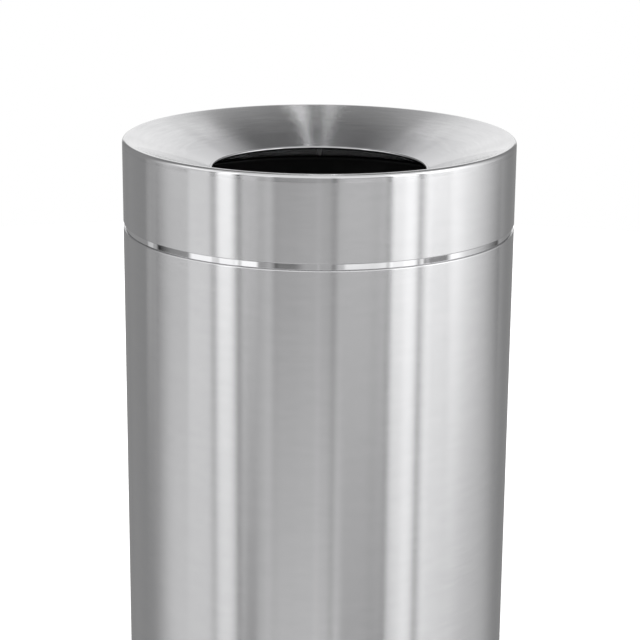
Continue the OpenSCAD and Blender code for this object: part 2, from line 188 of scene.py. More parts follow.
def ring_of_pieces_tree():
    """Repeats one piece round the Z axis at even steps."""
    tree, given, result = new_tree("GeometryNodeTree", "ring of pieces", [
        ("Piece", "Geometry"), ("Count", "Int", 4), ("First Angle", "Float", 0.0),
        ("Material", "Material")], [("Mesh", "Geometry")])
    points = place(tree, "GeometryNodePoints", {"Count": given.outputs["Count"]})
    index = place(tree, "GeometryNodeInputIndex").outputs[0]
    angle = maths(tree, "ADD", given.outputs["First Angle"], maths(
        tree, "MULTIPLY", index, maths(tree, "DIVIDE", TURN, given.outputs["Count"])))
    turn = place(tree, "FunctionNodeAxisAngleToRotation", {"Axis": (0.0, 0.0, 1.0), "Angle": angle})
    copies = place(tree, "GeometryNodeInstanceOnPoints", {
        "Points": points.outputs[0], "Instance": given.outputs["Piece"], "Rotation": turn.outputs[0]})
    whole = place(tree, "GeometryNodeRealizeInstances", {"Geometry": copies.outputs[0]})
    dressed = place(tree, "GeometryNodeSetMaterial", {"Geometry": whole.outputs[0],
                                                      "Material": given.outputs["Material"]})
    tree.links.new(dressed.outputs[0], result.inputs[0])
    return tree


turned_sheet = turned_sheet_tree()
ring_of_pieces = ring_of_pieces_tree()


def worked(name, mesh, tree, sizes):
    """Runs a mesh through a geometry tree and returns the plain mesh that comes out."""
    blank = bpy.data.objects.new(name, mesh)
    scene.collection.objects.link(blank)
    modifier = blank.modifiers.new(tree.name, "NODES")
    modifier.node_group = tree
    for item in tree.interface.items_tree:
        if item.item_type == "SOCKET" and item.in_out == "INPUT" and item.name in sizes:
            modifier[item.identifier] = sizes[item.name]
    blank.update_tag()
    bpy.context.view_layer.update()
    result = bpy.data.meshes.new_from_object(blank.evaluated_get(bpy.context.evaluated_depsgraph_get()))
    bpy.data.objects.remove(blank)
    result.name = name
    return result


def arc(centre, radius, start, end, steps):
    """Points of an arc in a profile. Angles in degrees, 0 outwards, 90 up."""
    return [(centre[0] + radius * math.cos(math.radians(start + (end - start) * i / steps)),
             centre[1] + radius * math.sin(math.radians(start + (end - start) * i / steps)))
            for i in range(steps + 1)]


def held_straight(profile, closed, long=5 * MM, margin=0.4 * MM):
    """Adds a point near each end of a long straight stretch, so that smooth shading keeps it flat."""
    ends = profile[1:] + (profile[:1] if closed else [])
    spots = []
    for start, end in zip(profile, ends):
        spots.append(start)
        length = math.dist(start, end)
        if length > long:
            for share in (margin / length, 1 - margin / length):
                spots.append(tuple(a + (b - a) * share for a, b in zip(start, end)))
    return spots if closed else spots + profile[-1:]


def turned(name, profile, material, closed=True, segments=round_segments, sharp=35, **sizes):
    """Turns a profile of (radius, z) points, which runs counter-clockwise, into a mesh."""
    profile = held_straight(list(profile), closed)
    line = bpy.data.meshes.new(name)
    edges = [(i, i + 1) for i in range(len(profile) - 1)]
    line.from_pydata([(r, 0.0, z) for r, z in profile], edges, [])
    return worked(name, line, turned_sheet, {
        "Segments": segments, "Closed Profile": 1 if closed else 0, "Sharp Edge": math.radians(sharp),
        "Material": material, **sizes})


def ringed(name, piece, count, first_angle, material):
    """Repeats a mesh round the centre line."""
    return worked(name, piece, ring_of_pieces, {
        "Count": count, "First Angle": math.radians(first_angle), "Material": material})


def fit(name, mesh, body, slot, *nodes):
    """Makes a finished piece of a mesh, hangs it on its body and hides the frame pieces it replaces. The
    slot is not used.
    """
    piece = bpy.data.objects.new(name, mesh)
    scene.collection.objects.link(piece)
    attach(piece, body)
    if nodes:
        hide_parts(*nodes)
    return piece


# ---------------------------------------------------------------- shader groups
def turned_grain_group():
    """Fine lines that run round the centre line, as a brush or a spinning tool leaves them."""
    tree, given, result = new_tree("ShaderNodeTree", "turned grain", [
        ("Lines per Metre", "Float", 1500.0), ("Length", "Float", 14.0), ("Soft Bands", "Float", 60.0)],
        [("Lines", "Float"), ("Bands", "Float")])
    spot = place(tree, "ShaderNodeSeparateXYZ", {0: place(tree, "ShaderNodeTexCoord").outputs["Object"]})
    x, y, z = spot.outputs
    radius = maths(tree, "SQRT", maths(tree, "ADD", maths(tree, "MULTIPLY", x, x),
                                       maths(tree, "MULTIPLY", y, y)))
    safe = maths(tree, "MAXIMUM", radius, 0.001)
    across = maths(tree, "ADD", radius, z)
    length = given.outputs["Length"]
    for count, label, detail in ((given.outputs["Lines per Metre"], "Lines", 2.0),
                                 (given.outputs["Soft Bands"], "Bands", 1.0)):
        at = place(tree, "ShaderNodeCombineXYZ", {
            "X": maths(tree, "MULTIPLY", maths(tree, "DIVIDE", x, safe), length),
            "Y": maths(tree, "MULTIPLY", maths(tree, "DIVIDE", y, safe), length),
            "Z": maths(tree, "MULTIPLY", across, count)})
        noise = place(tree, "ShaderNodeTexNoise", {"Vector": at.outputs[0], "Scale": 1.0,
                                                   "Detail": detail, "Roughness": 0.6})
        tree.links.new(noise.outputs["Fac"], result.inputs[label])
    return tree


def handling_group():
    """Soft cloudy marks and thin scratches from handling and wiping."""
    tree, given, result = new_tree("ShaderNodeTree", "handling marks", [
        ("Cloud Size", "Float", 0.06), ("Scratch Size", "Float", 0.02)],
        [("Clouds", "Float"), ("Scratches", "Float")])
    at = place(tree, "ShaderNodeTexCoord").outputs["Object"]
    cloud = place(tree, "ShaderNodeTexNoise", {
        "Vector": at, "Scale": maths(tree, "DIVIDE", 1.0, given.outputs["Cloud Size"]), "Detail": 3.0,
        "Roughness": 0.55, "Distortion": 0.6})
    tree.links.new(remap(tree, cloud.outputs["Fac"], 0.4, 0.72), result.inputs["Clouds"])
    bent = place(tree, "ShaderNodeTexNoise", {
        "Vector": at, "Scale": maths(tree, "DIVIDE", 0.35, given.outputs["Scratch Size"]), "Detail": 1.0,
        "Distortion": 2.2})
    line = maths(tree, "ABSOLUTE", maths(tree, "SUBTRACT", bent.outputs["Fac"], 0.5))
    tree.links.new(remap(tree, line, 0.006, 0.0), result.inputs["Scratches"])
    return tree


def pitted_skin_group():
    """The lumpy skin of a baked coating, or the pits of moulded rubber, with dust in its hollows."""
    tree, given, result = new_tree("ShaderNodeTree", "lumpy skin", [
        ("Lump Size", "Float", 0.0025), ("Dust Size", "Float", 0.04)],
        [("Height", "Float"), ("Dust", "Float"), ("Speckle", "Float")])
    at = place(tree, "ShaderNodeTexCoord").outputs["Object"]
    lumps = place(tree, "ShaderNodeTexNoise", {
        "Vector": at, "Scale": maths(tree, "DIVIDE", 1.0, given.outputs["Lump Size"]), "Detail": 2.0,
        "Roughness": 0.45})
    tree.links.new(lumps.outputs["Fac"], result.inputs["Height"])
    dust = place(tree, "ShaderNodeTexNoise", {
        "Vector": at, "Scale": maths(tree, "DIVIDE", 1.0, given.outputs["Dust Size"]), "Detail": 5.0,
        "Roughness": 0.65})
    tree.links.new(remap(tree, dust.outputs["Fac"], 0.45, 0.8), result.inputs["Dust"])
    speckle = place(tree, "ShaderNodeTexVoronoi", {
        "Vector": at, "Scale": maths(tree, "DIVIDE", 0.5, given.outputs["Lump Size"])})
    tree.links.new(remap(tree, speckle.outputs["Distance"], 0.12, 0.03), result.inputs["Speckle"])
    return tree


def wear_and_shade_group():
    """Where a turned piece is worn or worked, and where shade is painted on it: a ring of painted shade
    that fades out from one radius, scuffs below one height, and the seam's line.
    """
    tree, given, result = new_tree("ShaderNodeTree", "wear and painted shade", [
        ("Ring Radius", "Float", 0.15), ("Ring Reach", "Float", 0.05), ("Scuff Height", "Float", 0.1),
        ("Seam Width", "Float", 0.005)], [("Ring", "Float"), ("Scuffs", "Float"), ("Seam", "Float")])
    at = given.outputs
    coords = place(tree, "ShaderNodeTexCoord").outputs["Object"]
    x, y, z = place(tree, "ShaderNodeSeparateXYZ", {0: coords}).outputs
    radius = maths(tree, "SQRT", maths(tree, "ADD", maths(tree, "MULTIPLY", x, x),
                                       maths(tree, "MULTIPLY", y, y)))
    # painted shade: full at the given radius and inside it, fading out over the reach
    painted_shade_ring = remap(tree, radius, at["Ring Radius"], maths(tree, "ADD", at["Ring Radius"], at["Ring Reach"]),
                 1.0, 0.0)
    tree.links.new(painted_shade_ring, result.inputs["Ring"])
    low = remap(tree, z, at["Scuff Height"], 0.0)
    streak = place(tree, "ShaderNodeTexNoise", {"Vector": coords, "Scale": 26.0, "Detail": 6.0,
                                                "Roughness": 0.7})
    scuffs = maths(tree, "MULTIPLY", low, remap(tree, streak.outputs["Fac"], 0.5, 0.72))
    tree.links.new(scuffs, result.inputs["Scuffs"])
    line = remap(tree, maths(tree, "ABSOLUTE", x), at["Seam Width"],
                 maths(tree, "MULTIPLY", at["Seam Width"], 0.4))
    seam = maths(tree, "MULTIPLY", line, maths(tree, "GREATER_THAN", y, 0.0))
    tree.links.new(seam, result.inputs["Seam"])
    return tree


turned_grain = turned_grain_group()
handling_marks = handling_group()
lumpy_skin = pitted_skin_group()
# scuffs and the seam's line, which are wear, and a ring of painted shade
wear_and_shade = wear_and_shade_group()


# ---------------------------------------------------------------- materials
def new_material(name):
    """An empty material with its shader. Returns the material, its tree and the shader."""
    material = bpy.data.materials.new(name)
    material.use_nodes = True
    tree = material.node_tree
    tree.nodes.clear()
    shader = tree.nodes.new("ShaderNodeBsdfPrincipled")
    out = tree.nodes.new("ShaderNodeOutputMaterial")
    tree.links.new(shader.outputs[0], out.inputs["Surface"])
    return material, tree, shader


def use(tree, group, **values):
    """Places a shader group with its own values: Lines_per_Metre=1500 fills "Lines per Metre"."""
    node = tree.nodes.new("ShaderNodeGroup")
    node.node_tree = group
    for name, value in values.items():
        node.inputs[name.replace("_", " ")].default_value = value
    return node.outputs


def shade(tree, light, dark, mask):
    """A colour between two greys or tints, by a mask."""
    mix = place(tree, "ShaderNodeMix", {0: mask, 6: (*dark, 1.0), 7: (*light, 1.0)}, data_type="RGBA")
    return mix.outputs[2]


def steel(name, light, dark, roughness, spread, anisotropic, lines, bands, length, bump, clouds=0.03,
          painted_shade_ring=0.0, seam=0.0):
    """Stainless steel worked round the centre line. The ring amount paints shade that darkens the colour
    towards the opening; the seam amount darkens the seam's line.
    """
    material, tree, shader = new_material(name)
    grain = use(tree, turned_grain, Lines_per_Metre=lines, Soft_Bands=bands, Length=length)
    marks = use(tree, handling_marks, Cloud_Size=0.09, Scratch_Size=0.05)
    # its Ring output is painted shade near the opening; its scuffs and the seam's line are wear
    wear = use(tree, wear_and_shade, Ring_Radius=opening_r, Ring_Reach=0.09, Scuff_Height=0.11,
               Seam_Width=5 * MM)
    mask = maths(tree, "ADD", maths(tree, "MULTIPLY", grain["Lines"], 0.6),
                 maths(tree, "MULTIPLY", grain["Bands"], 0.4), clamp=True)
    # painted shade from the ring, and the seam's darker line
    worn = maths(tree, "ADD", maths(tree, "MULTIPLY", wear["Ring"], painted_shade_ring),
                 maths(tree, "MULTIPLY", wear["Seam"], seam))
    mask = maths(tree, "SUBTRACT", mask, worn, clamp=True)
    tree.links.new(shade(tree, light, dark, mask), shader.inputs["Base Color"])
    rough = remap(tree, grain["Lines"], 0.3, 0.7, roughness - spread, roughness + spread)
    rough = maths(tree, "ADD", rough, maths(tree, "MULTIPLY", marks["Clouds"], clouds))
    rough = maths(tree, "ADD", rough, maths(tree, "MULTIPLY", wear["Scuffs"], 0.1))
    rough = maths(tree, "ADD", rough, maths(tree, "MULTIPLY", wear["Seam"], 0.15 * seam))
    tree.links.new(rough, shader.inputs["Roughness"])
    relief = place(tree, "ShaderNodeBump", {"Height": grain["Lines"], "Strength": bump,
                                            "Distance": 0.02 * MM})
    tree.links.new(relief.outputs[0], shader.inputs["Normal"])
    shader.inputs["Metallic"].default_value = 1.0
    shader.inputs["Anisotropic"].default_value = anisotropic
    shader.inputs["Anisotropic Rotation"].default_value = 0.25
    return material


def brushed_wall_steel():
    """The brushed sheet of the body and the lid's skirt."""
    return steel("brushed_wall_steel", (0.63, 0.63, 0.635), (0.55, 0.55, 0.56), 0.17, 0.02, 1.0,
                 lines=3200, bands=90, length=6, bump=0.8, clouds=0.015, seam=0.8)


def spun_funnel_steel():
    """The funnel, which is spun and then brushed in the lathe. Painted shade darkens its colour towards the
    opening.
    """
    return steel("spun_funnel_steel", (0.70, 0.70, 0.705), (0.44, 0.44, 0.45), 0.10, 0.012, 1.0,
                 lines=2600, bands=150, length=5, bump=0.8, clouds=0.015, painted_shade_ring=0.7)


def polished_band_steel():
    """The mirror-polished band between the lid and the body."""
    return steel("polished_band_steel", (0.70, 0.70, 0.71), (0.66, 0.66, 0.67), 0.07, 0.015, 0.3,
                 lines=2500, bands=200, length=3, bump=0.05, clouds=0.04)


def mill_steel():
    """Sheet and flat bar as they come from the mill, inside the bin."""
    material, tree, shader = new_material("mill_steel")
    marks = use(tree, handling_marks, Cloud_Size=0.035, Scratch_Size=0.03)
    skin = use(tree, lumpy_skin, Lump_Size=0.0012, Dust_Size=0.05)
    tree.links.new(shade(tree, (0.36, 0.35, 0.34), (0.5, 0.5, 0.51), marks["Clouds"]),
                   shader.inputs["Base Color"])
    tree.links.new(maths(tree, "ADD", 0.38, maths(tree, "MULTIPLY", skin["Dust"], 0.25)),
                   shader.inputs["Roughness"])
    relief = place(tree, "ShaderNodeBump", {"Height": skin["Height"], "Strength": 0.4,
                                            "Distance": 0.03 * MM})
    tree.links.new(relief.outputs[0], shader.inputs["Normal"])
    shader.inputs["Metallic"].default_value = 1.0
    return material


def zinc_plated_steel():
    """Rivets, screws, nuts, ears and bent wire, with the mottled bloom of zinc."""
    material, tree, shader = new_material("zinc_plated_steel")
    marks = use(tree, handling_marks, Cloud_Size=0.008, Scratch_Size=0.01)
    skin = use(tree, lumpy_skin, Lump_Size=0.0006, Dust_Size=0.01)
    tree.links.new(shade(tree, (0.66, 0.67, 0.68), (0.52, 0.53, 0.56), marks["Clouds"]),
                   shader.inputs["Base Color"])
    tree.links.new(maths(tree, "ADD", 0.27, maths(tree, "MULTIPLY", skin["Dust"], 0.2)),
                   shader.inputs["Roughness"])
    relief = place(tree, "ShaderNodeBump", {"Height": skin["Height"], "Strength": 0.3,
                                            "Distance": 0.02 * MM})
    tree.links.new(relief.outputs[0], shader.inputs["Normal"])
    shader.inputs["Metallic"].default_value = 1.0
    return material


def soft_black(name, colour, worn, roughness, lump, bump, gloss):
    """A black skin that isn't metal: baked coating, rubber or nylon."""
    material, tree, shader = new_material(name)
    skin = use(tree, lumpy_skin, Lump_Size=lump, Dust_Size=0.05)
    marks = use(tree, handling_marks, Cloud_Size=0.05, Scratch_Size=0.03)
    dust = maths(tree, "MULTIPLY", skin["Dust"], 0.5)
    wear = maths(tree, "MAXIMUM", dust, maths(tree, "MULTIPLY", marks["Scratches"], 0.6))
    tree.links.new(shade(tree, worn, colour, wear), shader.inputs["Base Color"])
    tree.links.new(maths(tree, "ADD", roughness, maths(tree, "MULTIPLY", skin["Dust"], 0.18)),
                   shader.inputs["Roughness"])
    relief = place(tree, "ShaderNodeBump", {"Height": skin["Height"], "Strength": bump,
                                            "Distance": 0.12 * MM})
    tree.links.new(relief.outputs[0], shader.inputs["Normal"])
    shader.inputs["Specular IOR Level"].default_value = gloss
    return material


def black_powder_coat():
    """The liner's baked black powder coat, with its faint orange-peel skin."""
    return soft_black("black_powder_coat", (0.010, 0.010, 0.011), (0.022, 0.021, 0.020), 0.36, 0.0016,
                      0.35, 0.4)


def black_rubber():
    """The gasket, edge trim, rest pads and grips."""
    return soft_black("black_rubber", (0.018, 0.018, 0.019), (0.05, 0.048, 0.045), 0.62, 0.0009, 0.5, 0.35)


def grey_nylon():
    """The moulded glides."""
    return soft_black("grey_nylon", (0.085, 0.087, 0.09), (0.15, 0.148, 0.14), 0.46, 0.0007, 0.25, 0.5)


wall_steel = brushed_wall_steel()
funnel_steel = spun_funnel_steel()
band_steel = polished_band_steel()
inner_steel = mill_steel()
zinc = zinc_plated_steel()
powder_coat = black_powder_coat()
rubber = black_rubber()
nylon = grey_nylon()


# ---------------------------------------------------------------- turned pieces
def bowed(start, end, start_slope, end_slope, steps):
    """Points between two ends of a sheet that leaves them at two slopes, in degrees."""
    (r0, z0), (r1, z1) = start, end
    t0, t1 = math.tan(math.radians(start_slope)), math.tan(math.radians(end_slope))
    bend_r = (z1 - z0 + r0 * t0 - r1 * t1) / (t0 - t1)
    bend = (bend_r, z0 + (bend_r - r0) * t0)
    spots = []
    for i in range(1, steps):
        u = i / steps
        spots.append(tuple((1 - u) ** 2 * a + 2 * u * (1 - u) * b + u * u * c
                           for a, b, c in zip(start, bend, end)))
    return spots


def funnel_profile():
    """The funnel: rolled edge round the opening, crowned sloping sheet, rolled crest and inner flange."""
    slope = math.degrees(funnel_slope)
    neck_slope, crest_slope = slope + neck_crown, slope - crest_crown
    crest = (skirt_r - crest_r, rim_top - crest_r)
    crest_end = (crest[0] - crest_r * math.sin(funnel_slope), crest[1] + crest_r * math.cos(funnel_slope))
    neck_z = neck_low + neck_roll_r
    sheet_z = neck_z + sheet_t / 2 / math.cos(funnel_slope)
    neck_r = crest_end[0] - (crest_end[1] - sheet_z) / math.tan(funnel_slope)
    half_sheet = math.degrees(math.asin(sheet_t / 2 / neck_roll_r))
    turn_out = math.degrees(math.acos((flange_r - crest[0]) / crest_r))
    turn_in = math.degrees(math.acos((flange_r - sheet_t - crest[0]) / (crest_r - sheet_t)))
    flange_low = skirt_top - funnel_flange_h
    neck_roll = arc((neck_r, neck_z), neck_roll_r,
                    neck_slope + half_sheet, neck_slope - half_sheet + 360, 28)
    crest_under = arc(crest, crest_r - sheet_t, 90 + crest_slope, -turn_in, 24)
    crest_over = arc(crest, crest_r, -turn_out, 90 + crest_slope, 32)
    return (neck_roll + bowed(neck_roll[-1], crest_under[0], neck_slope, crest_slope, 30) + crest_under
            + [(flange_r - sheet_t, flange_low), (flange_r, flange_low)] + crest_over
            + bowed(neck_roll[0], crest_over[-1], neck_slope, crest_slope, 30)[::-1])


def make_funnel():
    mesh = turned("lid_funnel_spun", funnel_profile(), funnel_steel)
    return fit("lid_funnel_spun", mesh, "lid", "brushed_stainless", "lid_funnel")


def make_skirt():
    top_r = sheet_t * 0.4
    profile = (arc((skirt_r - sheet_t, skirt_low + sheet_t), sheet_t, -180, 0, 16)
               + arc((skirt_r - top_r, skirt_top - top_r), top_r, 0, 90, 6)
               + [(skirt_r - sheet_t, skirt_top), (skirt_r - sheet_t, skirt_low + hem_h),
                  (skirt_r - 2 * sheet_t, skirt_low + hem_h)])
    mesh = turned("lid_skirt_rolled", profile, wall_steel)
    return fit("lid_skirt_rolled", mesh, "lid", "brushed_stainless", "lid_skirt")


def make_collar():
    inner = collar_r - sheet_t
    low = gasket_top + seat
    lip = sheet_t * 0.4
    skirt_in, skirt_end = collar_r - gasket_cover[0], shell_top + gasket_cover[1]
    bend = 0.3 * MM
    profile = ([(collar_r, collar_top), (inner, collar_top), (inner, low + sheet_t),
                (spigot_wall_r - sheet_t, low + sheet_t)]
               + arc((spigot_wall_r, spigot_low + sheet_t), sheet_t, 180, 270, 6)
               + arc((spigot_wall_r - lip, spigot_low + lip), lip, -90, 0, 4)
               + [(spigot_wall_r, low), (skirt_in, low), (skirt_in, skirt_end)]
               + arc((collar_r - bend, skirt_end + bend), bend, -90, 0, 6))
    mesh = turned("locating_collar_polished", profile, band_steel)
    return fit("locating_collar_polished", mesh, "lid", "polished_stainless", "locating_collar")


def make_shell():
    inner = shell_r - sheet_t
    lip_in = shell_r - shell_flange_w
    edge = 0.25 * MM
    profile = ([(inner, shell_low + edge), (inner + edge, shell_low), (shell_r - edge, shell_low),
                (shell_r, shell_low + edge)]
               + arc((shell_r - shell_edge_r, shell_top - shell_edge_r), shell_edge_r, 0, 90, 14)
               + arc((lip_in + shell_edge_r, shell_top - shell_edge_r), shell_edge_r, 90, 180, 10)
               + [(lip_in, shell_top - shell_flange_w), (lip_in + sheet_t, shell_top - shell_flange_w)]
               + arc((lip_in + shell_edge_r, shell_top - shell_edge_r), shell_edge_r - sheet_t, 180, 90, 4)
               + arc((shell_r - shell_edge_r, shell_top - shell_edge_r), shell_edge_r - sheet_t, 90, 0, 4))
    mesh = turned("outer_shell_rolled", profile, wall_steel, **{
        "Seam Angle": TURN / 4, "Seam Half Angle": seam_w / 2 / shell_r,
        "Seam Radius": shell_r - seam_depth})
    return fit("outer_shell_rolled", mesh, "bin_body", "brushed_stainless", "outer_shell")


def make_liner():
    rim_wire_r = (wire_top - wire_low) / 2
    curl_r = rim_wire_r + seat + liner_t
    curl = (wire_r - rim_wire_r, wire_low + rim_wire_r)
    wall_in = curl[0] - curl_r
    foot_r = wall_in + liner_t - liner_taper
    bend_r = 8 * MM
    knee = liner_top - liner_neck_h
    foot = (foot_r - bend_r, liner_low + bend_r)
    blend = 6 * MM
    profile = ([(0.0, liner_low)]
               + arc(foot, bend_r, -90, 0, 10)
               + [(wall_in + liner_t - blend * 0.14, knee - blend), (wall_in + liner_t, knee + blend),
                  (wall_in + liner_t, curl[1])]
               + arc(curl, curl_r - liner_t, 175, -100, 26)
               + arc(curl, curl_r, -100, 180, 32)
               + [(wall_in, knee + blend), (wall_in - blend * 0.14, knee - blend)]
               + arc(foot, bend_r - liner_t, 0, -90, 10)
               + [(0.0, liner_low + liner_t)])
    mesh = turned("liner_bucket_coated", profile, powder_coat, closed=False)
    return fit("liner_bucket_coated", mesh, "liner", "black_coating", "liner_bucket")


def make_trim():
    edge = 0.8 * MM
    wall = 1.6 * MM
    inner = shell_r - sheet_t - seat
    inner_top = trim_low + (trim_top - trim_low) * 0.8  # the inner lip is the lower one
    profile = ([(inner - wall + edge, trim_low)]
               + arc((trim_r - edge, trim_low + edge), edge, -90, 0, 6)
               + arc((trim_r - edge, trim_top - edge), edge, 0, 90, 6)
               + [(shell_r + seat, trim_top), (shell_r + seat, shell_low - seat),
                  (inner, shell_low - seat), (inner, inner_top), (inner - wall, inner_top),
                  (inner - wall, trim_low + edge)])
    mesh = turned("base_trim_rubber", profile, rubber)
    return fit("base_trim_rubber", mesh, "bin_body", "black_rubber", "base_trim")


# ---------------------------------------------------------------- repeated and small pieces
rivet_r = 2 * MM
rivet_head_r = 2 * rivet_r
rivet_tail_r = 0.8 * rivet_head_r
rivet_head_h = 1.2 * MM
OUTWARD = (0.0, math.pi / 2, 0.0)  # turns a piece's axis from +Z to +X


def dome(head_r, height, rim=0.25 * MM, steps=7):
    """Profile of a low domed head that stands on z = 0, from its edge to the axis."""
    rise = height - rim
    return [(head_r, rim)] + [(head_r * math.cos(math.radians(90 * i / steps)),
                               rim + rise * math.sin(math.radians(90 * i / steps)))
                              for i in range(1, steps)] + [(0.0, height)]


def blind_rivet(low, high):
    """Profile of a rivet along +Z: its tail below low, its shank, and its domed head above high."""
    tail_end = low - rivet_head_h
    tail = [(0.0, tail_end), (rivet_tail_r * 0.7, tail_end), (rivet_tail_r, low - rivet_head_h * 0.6),
            (rivet_tail_r, low), (rivet_r, low), (rivet_r, high), (rivet_head_r, high)]
    return tail + [(r, high + z) for r, z in dome(rivet_head_r, rivet_head_h)]


def make_base_rivets():
    """Eight rivets through the shell and the pan's wall, all round."""
    low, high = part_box("base_rivets")
    outer = shell_r + seat
    inner = shell_r - sheet_t - seat - pan_t - seat
    name = "base_rivets_domed"
    rivet = turned(name, blind_rivet(inner, outer), zinc, closed=False, segments=28, sharp=40,
                   Turn=OUTWARD, Place=(0.0, 0.0, (low.z + high.z) / 2))
    mesh = ringed(name, rivet, 8, 22.5, zinc)
    return fit(name, mesh, "bin_body", "zinc_steel", "base_rivets")


def make_glides():
    low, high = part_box("foot_glides")
    glide_r, neck_r = 18 * MM, 9.6 * MM
    centre = (shell_r - 26 * MM, 0.0, 0.0)
    top = high.z
    shoulder = top * 0.4
    floor_t = 4 * MM
    bore = 4 * MM + seat
    profile = [(0.0, 0.0), (glide_r - 1.6 * MM, 0.0), (glide_r - 0.5 * MM, 0.4 * MM), (glide_r, 1.4 * MM),
               (glide_r, shoulder - 1 * MM), (glide_r - 0.6 * MM, shoulder), (neck_r, top - 0.6 * MM),
               (neck_r - 0.8 * MM, top), (bore, top), (bore, floor_t), (0.0, floor_t)]
    glide = turned("foot_glides_moulded", profile, nylon, closed=False, segments=64, Place=centre)
    mesh = ringed("foot_glides_moulded", glide, 4, 45, nylon)
    return fit("foot_glides_moulded", mesh, "bin_body", "grey_nylon", "foot_glides")


def make_grip(node, body):
    """A ribbed rubber sleeve on a handle's bar, with rounded ends."""
    low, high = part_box(node)
    middle = (low + high) / 2
    length = high.y - low.y
    outer = (high.z - low.z) / 2
    bore = 3 * MM + seat
    groove, ribs = 0.8 * MM, 9
    round_r, end = 1.5 * MM, 5 * MM
    pitch = (length - 2 * end) / ribs
    profile = [(bore, -length / 2)] + arc((outer - round_r, -length / 2 + round_r), round_r, -90, 0, 6)
    for i in range(ribs):
        start = -length / 2 + end + i * pitch
        profile += [(outer, start + pitch * 0.1), (outer - groove, start + pitch * 0.26),
                    (outer - groove, start + pitch * 0.5), (outer, start + pitch * 0.66)]
    profile += arc((outer - round_r, length / 2 - round_r), round_r, 0, 90, 6) + [(bore, length / 2)]
    mesh = turned(node + "_ribbed", profile, rubber, segments=56, sharp=50,
                  Turn=(-math.pi / 2, 0.0, 0.0), Place=tuple(middle))
    return fit(node + "_ribbed", mesh, body, "black_rubber", node)


# ---------------------------------------------------------------- pieces kept from the frame
def dress(material, *nodes):
    """Gives frame pieces their finish."""
    for node in nodes:
        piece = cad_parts[node]
        if not piece.material_slots:
            piece.data.materials.append(material)
        for slot in piece.material_slots:
            slot.material = material


# ---------------------------------------------------------------- stage
floor_r = 3.0
floor_glow = 0.62  # brings the floor up to the white around it
lens_mm = 111.45
camera_back, camera_above_rim = 9.954, 1.81  # in body radii
camera_pitch, camera_yaw, camera_roll = 15.61, 0.06, 0.48  # degrees


def make_floor():
    """A pale round floor that fades into the white around it."""
    bpy.ops.mesh.primitive_circle_add(vertices=128, radius=floor_r, fill_type="NGON")
    floor = bpy.context.object
    floor.name = "studio_floor"
    material, tree, shader = new_material("pale_floor")
    shader.inputs["Base Color"].default_value = (0.85, 0.85, 0.85, 1.0)
    shader.inputs["Roughness"].default_value = 0.8
    shader.inputs["Specular IOR Level"].default_value = 0.1
    seen = place(tree, "ShaderNodeLightPath").outputs["Is Camera Ray"]
    shader.inputs["Emission Color"].default_value = (1.0, 1.0, 1.0, 1.0)
    tree.links.new(maths(tree, "MULTIPLY", seen, floor_glow), shader.inputs["Emission Strength"])
    floor.data.materials.append(material)
    floor.visible_glossy = False


def soft_panel_group():
    """A soft light panel between two azimuths and two elevations, in degrees, each with its own fade."""
    tree, given, result = new_tree("ShaderNodeTree", "soft panel", [
        ("Azimuth", "Float"), ("Elevation", "Float"), ("From", "Float"), ("To", "Float"),
        ("From Fade", "Float", 2.0), ("To Fade", "Float", 2.0), ("Low", "Float", -60.0),
        ("High", "Float", 30.0), ("Fade", "Float", 8.0), ("Strength", "Float", 1.0)], [("Light", "Float")])
    at = given.outputs
    middle = maths(tree, "MULTIPLY", maths(tree, "ADD", at["From"], at["To"]), 0.5)
    half = maths(tree, "MULTIPLY", maths(tree, "SUBTRACT", at["To"], at["From"]), 0.5)
    away = maths(tree, "WRAP", maths(tree, "SUBTRACT", at["Azimuth"], middle), 180.0, -180.0)
    back = maths(tree, "MULTIPLY", half, -1.0)
    rise = remap(tree, away, maths(tree, "SUBTRACT", back, at["From Fade"]),
                 maths(tree, "ADD", back, at["From Fade"]))
    fall = remap(tree, away, maths(tree, "SUBTRACT", half, at["To Fade"]),
                 maths(tree, "ADD", half, at["To Fade"]), 1.0, 0.0)
    above = remap(tree, at["Elevation"], maths(tree, "SUBTRACT", at["Low"], at["Fade"]),
                  maths(tree, "ADD", at["Low"], at["Fade"]))
    below = remap(tree, at["Elevation"], maths(tree, "SUBTRACT", at["High"], at["Fade"]),
                  maths(tree, "ADD", at["High"], at["Fade"]), 1.0, 0.0)
    light = maths(tree, "MULTIPLY", maths(tree, "MULTIPLY", rise, fall),
                  maths(tree, "MULTIPLY", maths(tree, "MULTIPLY", above, below), at["Strength"]))
    tree.links.new(light, result.inputs[0])
    return tree


